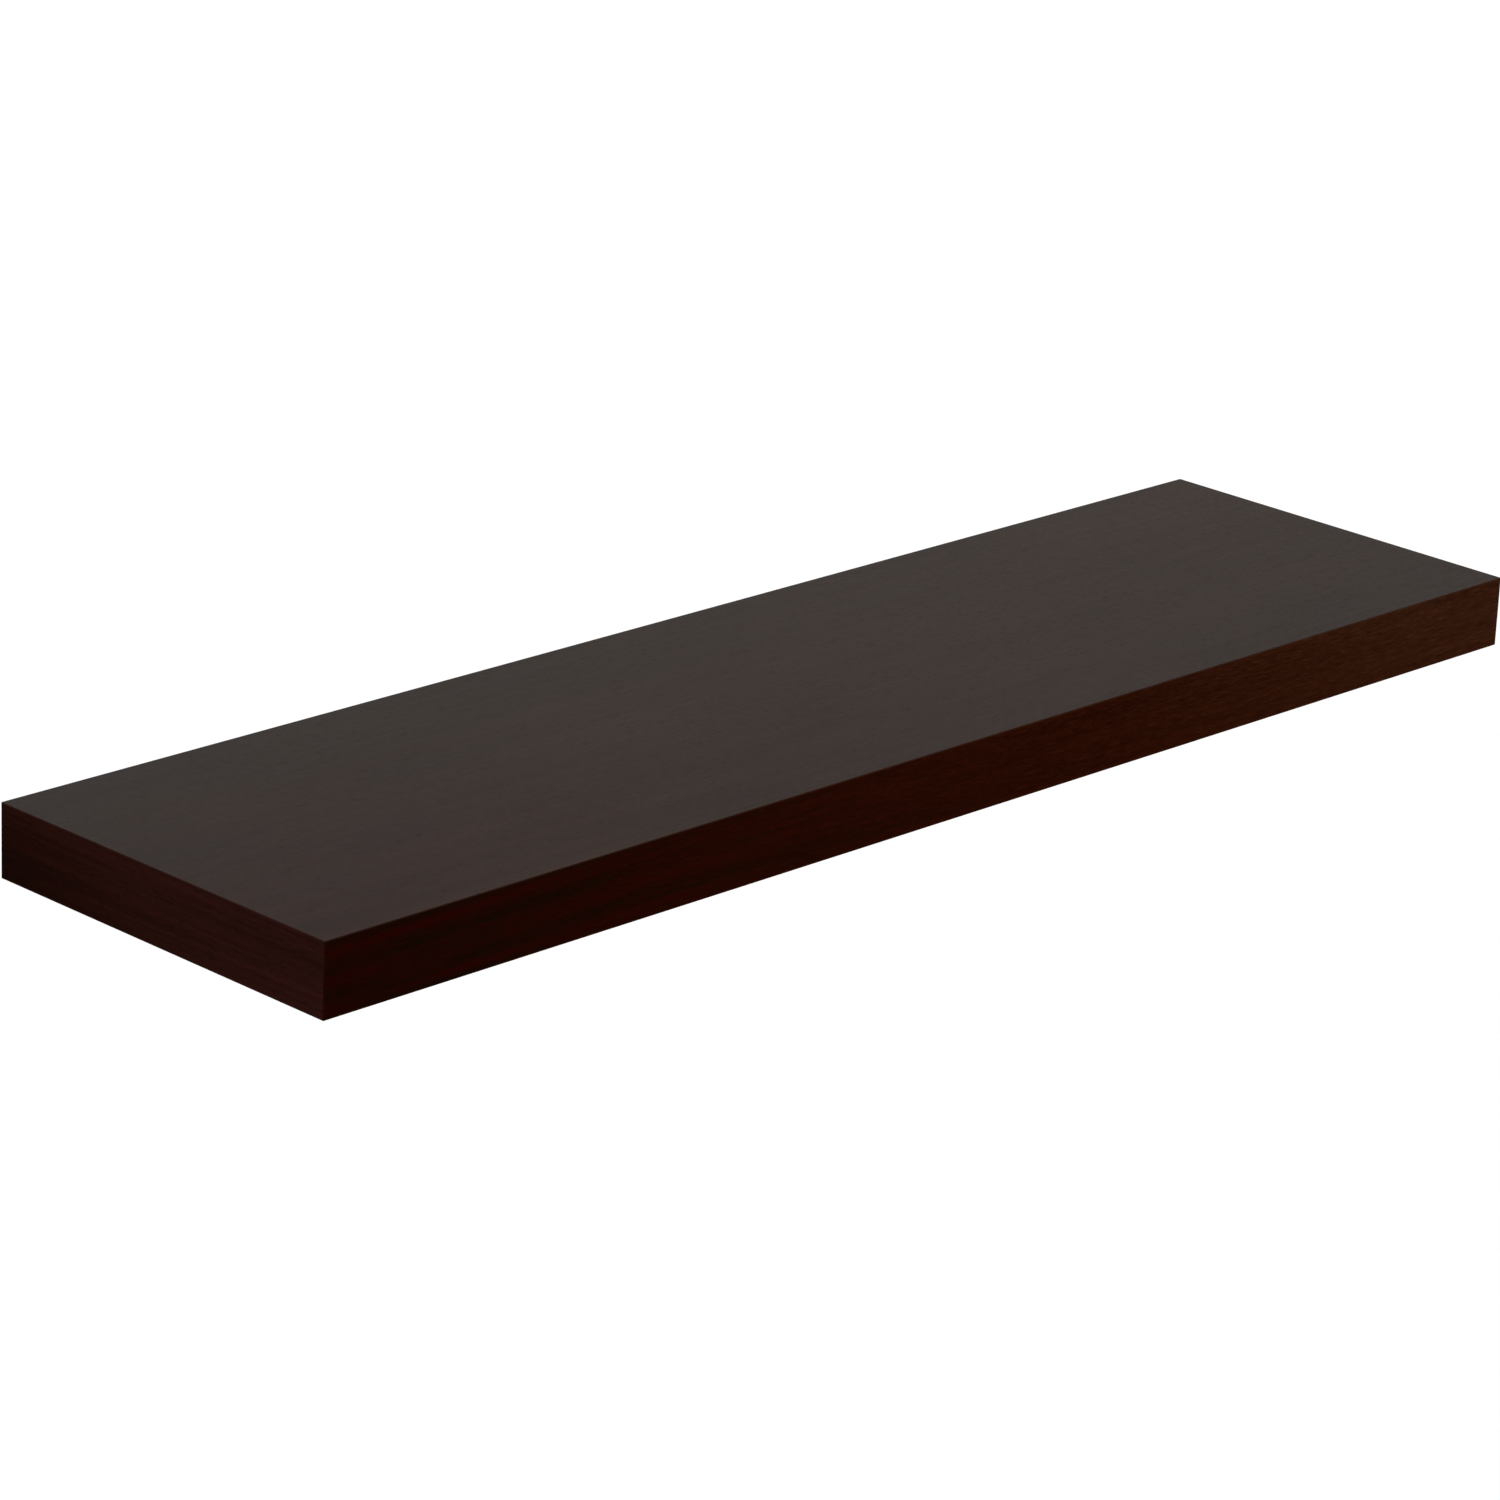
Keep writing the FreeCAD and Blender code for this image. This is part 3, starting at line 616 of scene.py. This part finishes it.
dress(veneer("top_veneer_stain_and_painted_light", "z", TOP_DARKS, TOP_WARMS,
             flitch=(0.31, 0.2, 0.4), specular=0.027, bands=0.4, lean=0.6,
             fine=0.12, pore_share=0.12, sheen=(0.37, 0.42), depth=0.000003),
      solids["top_veneer"])


# The bottom sheet is the same veneer on the lower skin, drilled for the two
# inserts. It is seen only from below, and its lacquer is thinner.
# It takes the top's colours, with their painted shade and reflection.
dress(veneer("bottom_veneer_stain_and_painted_light", "z", TOP_DARKS, TOP_WARMS,
             flitch=(1.7, 0.65, 0.9), specular=0.03, bands=0.45, lean=0.3,
             sheen=(0.42, 0.55)), solids["bottom_veneer"])


# The end strips are veneer on the stiles, with the grain from front to back
# and redder than the top. Their colour deepens towards the wall and the
# foot: painted shade.
END_DARKS = ((0.0, (0.0130, 0.0032, 0.0023, 1)),
             (0.6, (0.0070, 0.0014, 0.0006, 1)),
             (1.0, (0.0026, 0.0008, 0.0001, 1)))
END_WARMS = ((0.0, (0.0248, 0.0057, 0.0042, 1)),
             (0.6, (0.0140, 0.0028, 0.0014, 1)),
             (1.0, (0.0068, 0.0015, 0.0004, 1)))
dress(veneer("end_veneer_stain_and_painted_shade", "x", END_DARKS, END_WARMS,
             flitch=(0.9, 1.35, 0.27), specular=0.003, bands=0.2, lean=0.35,
             turn=1.8, fleck=0.01, arris=0.2),
      solids["left_end_veneer"], solids["right_end_veneer"])


# The front strip goes on last and covers the edges of the end strips. Broad
# red ribbons run along its left half. To the right its grain grows finer,
# with more of the pale flecks, and painted light makes it lighter and
# browner and the flecks paler. It is painted a little lighter near its top.
FRONT_DARKS = ((0.0, (0.0050, 0.0018, 0.0002, 1)),
               (0.6, (0.0140, 0.0022, 0.0004, 1)),
               (1.0, (0.0232, 0.0057, 0.0020, 1)))
FRONT_WARMS = ((0.0, (0.0152, 0.0005, 0.0001, 1)),
               (0.6, (0.0264, 0.0042, 0.0007, 1)),
               (1.0, (0.0400, 0.0118, 0.0042, 1)))
dress(veneer("front_veneer_stain_and_painted_light", "y", FRONT_DARKS, FRONT_WARMS,
             flitch=(2.2, 0.4, 1.3), specular=0.0015, bands=0.44, lean=-0.07,
             turn=1.3, fine=0.26, fleck=0.009, late=(0.14, 0.5), ribbon=0.95,
             glints=0.55, arris=0.1), solids["front_veneer"])


# Two brass inserts with barbs are pressed into the ribs from below. Their
# flanges are faced on a lathe, which leaves fine rings a quarter of a
# millimetre apart, where tarnish stays.
INSERT_PLACE = (0.3556, -0.07)
BRASS = (0.62, 0.42, 0.17, 1.0)
BRASS_TARNISHED = (0.33, 0.21, 0.085, 1.0)
BRASS_ROUGHNESS = (0.26, 0.45)
TARNISH_CELLS = (260, 260, 260)
TARNISH_SPAN = (0.42, 0.7)
LATHE_WAVES = 24000.0
LATHE_TARNISH = (0.45, 0.0)
LATHE_DEPTH = 0.000010
brass, shader, place = new_finish("turned_brass", metallic=1.0)
parts = put(brass, "ShaderNodeSeparateXYZ", {0: place}).outputs
out = put(brass, "ShaderNodeCombineXYZ", {
    0: count(brass, "SUBTRACT", count(brass, "ABSOLUTE", parts[0]),
             INSERT_PLACE[0]),
    1: count(brass, "SUBTRACT", parts[1], INSERT_PLACE[1]), 2: 0.0})
radius = vector(brass, "LENGTH", out.outputs[0])
rings = count(brass, "SINE", count(brass, "MULTIPLY", radius, LATHE_WAVES))
tarnish = noise(brass, place, TARNISH_CELLS, detail=3, rough=0.6)
tarnish = count(brass, "MAXIMUM", span(brass, tarnish, *TARNISH_SPAN),
                span(brass, rings, -1.0, 1.0, *LATHE_TARNISH))
surface(brass, shader, tint(brass, tarnish, BRASS, BRASS_TARNISHED),
        span(brass, tarnish, 0.0, 1.0, *BRASS_ROUGHNESS), rings, LATHE_DEPTH)
dress(brass, solids["left_insert"], solids["right_insert"])


# A grub screw goes up each insert and presses on its rod, which stops the
# shelf from sliding off. It is blackened steel with a rolled thread and a
# hexagon socket.
SCREW_RADIUS = 0.003
SCREW_PITCH = 0.001
SCREW_BOTTOM = -0.0181
THREAD_START = SCREW_BOTTOM - 1.5 * SCREW_PITCH
THREAD_TURNS = 15
TURN_STEPS = 28
THREAD_GAP = 0.000001
SCREW_BLACK = (0.035, 0.034, 0.036, 1.0)
SCREW_RUBBED = (0.12, 0.115, 0.112, 1.0)
SCREW_ROUGHNESS = (0.42, 0.3)
RUB_CELLS = (700, 700, 700)
RUB_SPAN = (0.55, 0.75)
OXIDE_CELLS = (2500, 2500, 2500)
OXIDE_DEPTH = 0.00001


def merge(piece):
    """Merges a mesh's doubles, closes its ends and turns its faces out."""
    bpy.context.view_layer.objects.active = piece
    bpy.ops.object.mode_set(mode="EDIT")
    bpy.ops.mesh.select_all(action="SELECT")
    bpy.ops.mesh.remove_doubles(threshold=THREAD_GAP)
    bpy.ops.mesh.fill_holes(sides=0)
    bpy.ops.mesh.select_all(action="SELECT")
    bpy.ops.mesh.normals_make_consistent(inside=False)
    bpy.ops.object.mode_set(mode="OBJECT")


def threaded(node, name, place):
    """The solid screw, cut to a thread that winds up its whole length. The
    thread is one pitch of its outline, a flat root and two flanks, turned
    and lifted in steps."""
    bpy.ops.object.select_all(action="DESELECT")
    height = SCREW_PITCH * math.sqrt(3) / 2
    root = SCREW_RADIUS - 5 / 8 * height
    crest = SCREW_RADIUS + height / 8
    bpy.ops.mesh.primitive_circle_add(vertices=4)
    thread = bpy.context.object
    for corner, (out, up) in zip(thread.data.vertices, (
            (root, 0), (root, 1 / 4), (crest, 5 / 8), (root, 1))):
        corner.co = (out, 0, up * SCREW_PITCH)
    bpy.ops.object.mode_set(mode="EDIT")
    bpy.ops.mesh.select_mode(type="EDGE")
    bpy.ops.mesh.select_all(action="DESELECT")
    bpy.ops.object.mode_set(mode="OBJECT")
    closing_edge = thread.data.edges[3]
    closing_edge.select = True
    bpy.ops.object.mode_set(mode="EDIT")
    bpy.ops.mesh.delete(type="EDGE")
    bpy.ops.mesh.select_mode(type="VERT")
    bpy.ops.object.mode_set(mode="OBJECT")
    apply(thread, "SCREW", axis="Z", angle=2 * math.pi, steps=TURN_STEPS,
          screw_offset=SCREW_PITCH, iterations=THREAD_TURNS,
          use_smooth_shade=False)
    thread.location = (place, INSERT_PLACE[1], THREAD_START)
    bpy.ops.object.transform_apply(location=True, rotation=True, scale=True)
    merge(thread)
    screw = copy_of(node, name)
    apply(screw, "BOOLEAN", object=thread, operation="INTERSECT",
          solver="EXACT")
    merge(screw)
    bpy.data.objects.remove(thread)
    return screw


screw_steel, shader, place = new_finish("blackened_screw_steel", metallic=1.0)
rubbed = noise(screw_steel, place, RUB_CELLS, detail=3, rough=0.6)
rubbed = span(screw_steel, rubbed, *RUB_SPAN)
surface(screw_steel, shader,
        tint(screw_steel, rubbed, SCREW_BLACK, SCREW_RUBBED),
        span(screw_steel, rubbed, 0.0, 1.0, *SCREW_ROUGHNESS),
        noise(screw_steel, place, OXIDE_CELLS), OXIDE_DEPTH)
for side, way in (("left", -1), ("right", 1)):
    screw = threaded(side + "_lock_screw", side + "_grub_screw",
                     way * INSERT_PLACE[0])
    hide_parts(side + "_lock_screw")
    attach(screw, side + "_lock")
    dress(screw_steel, screw)


# The studio has a plain pale floor, as far below the shelf as a shelf hangs,
# and a white surround. The floor is see-through from below, for views of the
# underside, and keeps the shelf's shadow.
FLOOR_DEPTH = 1.2
FLOOR_SIZE = 60.0
FLOOR_PALE = (0.93, 0.93, 0.93, 1.0)
FLOOR_ROUGHNESS = 0.9
FLOOR_SPECULAR = 0.1
FLOOR_LIFT = 0.15
WHITE = (1, 1, 1, 1)
SURROUND_LIGHT = 0.62


def backdrop_glow(material, unseen, seen):
    """The glow of a backdrop: seen for a ray from the camera, a reflection
    or a clear piece, and unseen for the light that falls on the shelf."""
    rays = put(material, "ShaderNodeLightPath").outputs
    looking = count(material, "MAXIMUM", rays["Is Camera Ray"],
                    rays["Is Glossy Ray"])
    looking = count(material, "MAXIMUM", looking,
                    rays["Is Transmission Ray"])
    return span(material, looking, 0.0, 1.0, unseen, seen)


bpy.ops.object.select_all(action="DESELECT")
bpy.ops.mesh.primitive_plane_add(size=FLOOR_SIZE,
                                 location=(0, 0, -FLOOR_DEPTH))
floor = bpy.context.object
floor.name = "studio_floor"
floor_paint = bpy.data.materials.new("floor_paint")
floor_paint.use_nodes = True
shader = floor_paint.node_tree.nodes["Principled BSDF"]
shader.inputs["Base Color"].default_value = FLOOR_PALE
shader.inputs["Roughness"].default_value = FLOOR_ROUGHNESS
shader.inputs["Specular IOR Level"].default_value = FLOOR_SPECULAR
shader.inputs["Emission Color"].default_value = WHITE
floor_paint.node_tree.links.new(backdrop_glow(floor_paint, 0.0, FLOOR_LIFT),
                                shader.inputs["Emission Strength"])
from_below = count(
    floor_paint, "MULTIPLY",
    put(floor_paint, "ShaderNodeNewGeometry").outputs["Backfacing"],
    put(floor_paint, "ShaderNodeLightPath").outputs["Is Camera Ray"])
see_through = put(floor_paint, "ShaderNodeMixShader", {
    0: from_below, 1: shader.outputs[0],
    2: put(floor_paint, "ShaderNodeBsdfTransparent").outputs[0]})
floor_paint.node_tree.links.new(
    see_through.outputs[0],
    floor_paint.node_tree.nodes["Material Output"].inputs["Surface"])
dress(floor_paint, floor)

world = bpy.data.worlds.new("studio_surround")
bpy.context.scene.world = world
world.use_nodes = True
background = world.node_tree.nodes["Background"]
background.inputs["Color"].default_value = WHITE
world.node_tree.links.new(backdrop_glow(world, SURROUND_LIGHT, 1.0),
                          background.inputs["Strength"])


# The light is soft: a broad key lamp from the left and above, and a weaker
# one from the right and in front, both as even over the floor as a far
# softbox.
def way_to(azimuth, height):
    """The way from the shelf to a lamp or the camera, from angles in degrees.
    azimuth 0 is in front of the shelf, and 90 at its right."""
    around, up = math.radians(azimuth), math.radians(height)
    return Vector((math.sin(around) * math.cos(up),
                   -math.cos(around) * math.cos(up), math.sin(up)))


def soft_sun(name, power, azimuth, height, width):
    """A far, soft lamp. width is the angle that the lamp fills, in degrees."""
    bpy.ops.object.light_add(type="SUN")
    lamp = bpy.context.object
    lamp.name = name
    lamp.data.energy = power
    lamp.data.angle = math.radians(width)
    lamp.rotation_euler = way_to(azimuth, height).to_track_quat(
        "Z", "Y").to_euler()


soft_sun("key_lamp", power=1.1, azimuth=-75, height=42, width=50)
soft_sun("fill_lamp", power=0.5, azimuth=40, height=35, width=60)


# The camera stands where the photograph was taken from: left of the shelf and
# above it, with a long lens and a slight roll.
CAMERA_PLACE = Vector((-2.19367, -2.20242, 1.05466))
CAMERA_AZIMUTH = -46.0144
CAMERA_HEIGHT = 19.5818
CAMERA_ROLL = 2.48
CAMERA_LENS = 140.264
CAMERA_SENSOR = 36.0
CAMERA_REACH = (0.05, 200.0)
bpy.ops.object.camera_add(location=CAMERA_PLACE)
camera = bpy.context.object
camera.rotation_mode = "QUATERNION"
camera.rotation_quaternion = (
    way_to(CAMERA_AZIMUTH, CAMERA_HEIGHT).to_track_quat("Z", "Y")
    @ Matrix.Rotation(math.radians(CAMERA_ROLL), 3, "Z").to_quaternion())
camera.data.lens = CAMERA_LENS
camera.data.sensor_width = CAMERA_SENSOR
camera.data.clip_start, camera.data.clip_end = CAMERA_REACH
bpy.context.scene.camera = camera
bpy.context.scene.view_settings.view_transform = "Standard"
